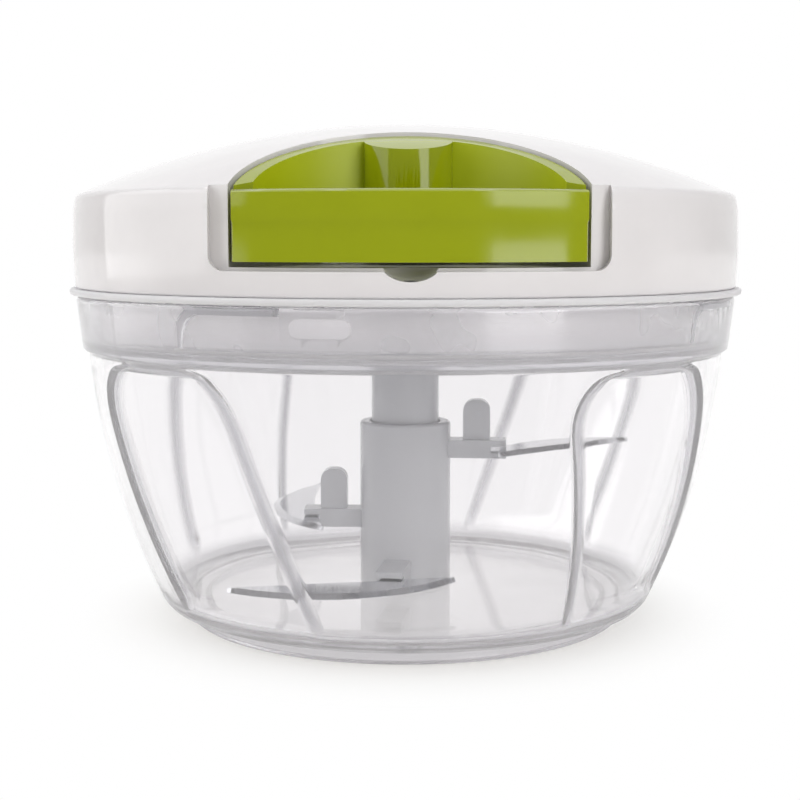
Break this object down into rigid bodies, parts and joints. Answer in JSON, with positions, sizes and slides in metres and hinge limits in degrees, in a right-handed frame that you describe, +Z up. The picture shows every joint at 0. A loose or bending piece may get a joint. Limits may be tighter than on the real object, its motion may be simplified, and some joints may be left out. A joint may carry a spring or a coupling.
{
  "type": "pull cord food chopper",
  "caption": "Round hand chopper: clear panelled bowl, domed lid with a D-shaped pull handle whose cord spins stacked sickle blades through a sprung spool.",
  "frame": {"origin": "centre of the foot ring on the table", "axes": "+Z up along the bowl's axis, -Y towards the front where the handle is pulled out, +X to the right seen from the front"},
  "size_m": [0.1324, 0.1322, 0.0973],
  "materials": {
    "clear_bowl": "clear polished moulding",
    "frosted_base": "translucent moulding, fine matt",
    "white_cover": "glossy moulding",
    "green_handle": "glossy moulding",
    "grey_moulding": "satin moulding",
    "blade_steel": "ground blade steel",
    "plain_steel": "turned steel",
    "cap_black": "matt moulding",
    "seal_rubber": "soft translucent rubber",
    "white_slip": "satin slip plastic",
    "cord_fibre": "braided cord"
  },
  "bodies": {
    "bowl": {"bowl": "clear_bowl", "bowl_pin": "plain_steel"},
    "blade_unit": {"shaft_sleeve": "grey_moulding", "shaft_core": "grey_moulding", "blade_lower": "blade_steel", "blade_middle": "blade_steel", "blade_upper": "blade_steel"},
    "lid_seal": {"seal_ring": "seal_rubber"},
    "lid": {"lid_base": "frosted_base", "lid_cover": "white_cover", "mechanism_cap": "cap_black", "spool_axle": "plain_steel", "thrust_washer": "white_slip", "cord_guide": "grey_moulding", "cord_lead": "cord_fibre", "cover_screw_1": "plain_steel", "cover_screw_2": "plain_steel", "cover_screw_3": "plain_steel", "cover_screw_4": "plain_steel", "cap_screw_1": "plain_steel", "cap_screw_2": "plain_steel", "cap_screw_3": "plain_steel"},
    "handle": {"handle_grip": "green_handle", "cord_knot": "cord_fibre", "cord_tail": "cord_fibre"},
    "spool": {"cord_spool": "white_slip", "wound_cord": "cord_fibre", "recoil_spring": "plain_steel", "spring_cover": "cap_black"},
    "drive": {"drive_hub": "grey_moulding"},
    "pawl_1": {"pawl_1": "plain_steel"},
    "pawl_2": {"pawl_2": "plain_steel"}
  },
  "joints": [
    {"name": "blade_spin", "type": "hinge", "parent": "bowl", "child": "blade_unit", "pos_m": [0, 0, 0], "axis": [0, 0, 1], "range_deg": [0, 1080]},
    {"name": "lid_lift", "type": "slide", "parent": "bowl", "child": "lid_seal", "axis": [0, 0, 1], "range_m": [0, 0.12]},
    {"name": "lid_turn", "type": "hinge", "parent": "lid_seal", "child": "lid", "pos_m": [0, 0, 0], "axis": [0, 0, -1], "range_deg": [0, 16]},
    {"name": "handle_pull", "type": "slide", "parent": "lid", "child": "handle", "axis": [0, -1, 0], "range_m": [0, 0.3], "stiffness_N_per_m": 20, "springref_m": -0.1},
    {"name": "spool_spin", "type": "hinge", "parent": "lid", "child": "spool", "pos_m": [0, 0, 0], "axis": [0, 0, 1], "range_deg": [0, 1080]},
    {"name": "drive_spin", "type": "hinge", "parent": "lid", "child": "drive", "pos_m": [0, 0, 0], "axis": [0, 0, 1], "range_deg": [0, 1080]},
    {"name": "pawl_1_swing", "type": "hinge", "parent": "spool", "child": "pawl_1", "pos_m": [0.013, 0, 0.0708], "axis": [0, 0, 1], "range_deg": [0, 8], "stiffness_Nm_per_rad": 0.001, "springref_deg": -11.46},
    {"name": "pawl_2_swing", "type": "hinge", "parent": "spool", "child": "pawl_2", "pos_m": [-0.013, 0, 0.0708], "axis": [0, 0, 1], "range_deg": [0, 8], "stiffness_Nm_per_rad": 0.001, "springref_deg": -11.46}
  ],
  "couplings": [
    {"joint": "spool_spin", "follows": "handle_pull", "rad_per_m": 62.5},
    {"joint": "drive_spin", "follows": "handle_pull", "rad_per_m": 62.5},
    {"joint": "blade_spin", "follows": "handle_pull", "rad_per_m": 62.5}
  ]
}
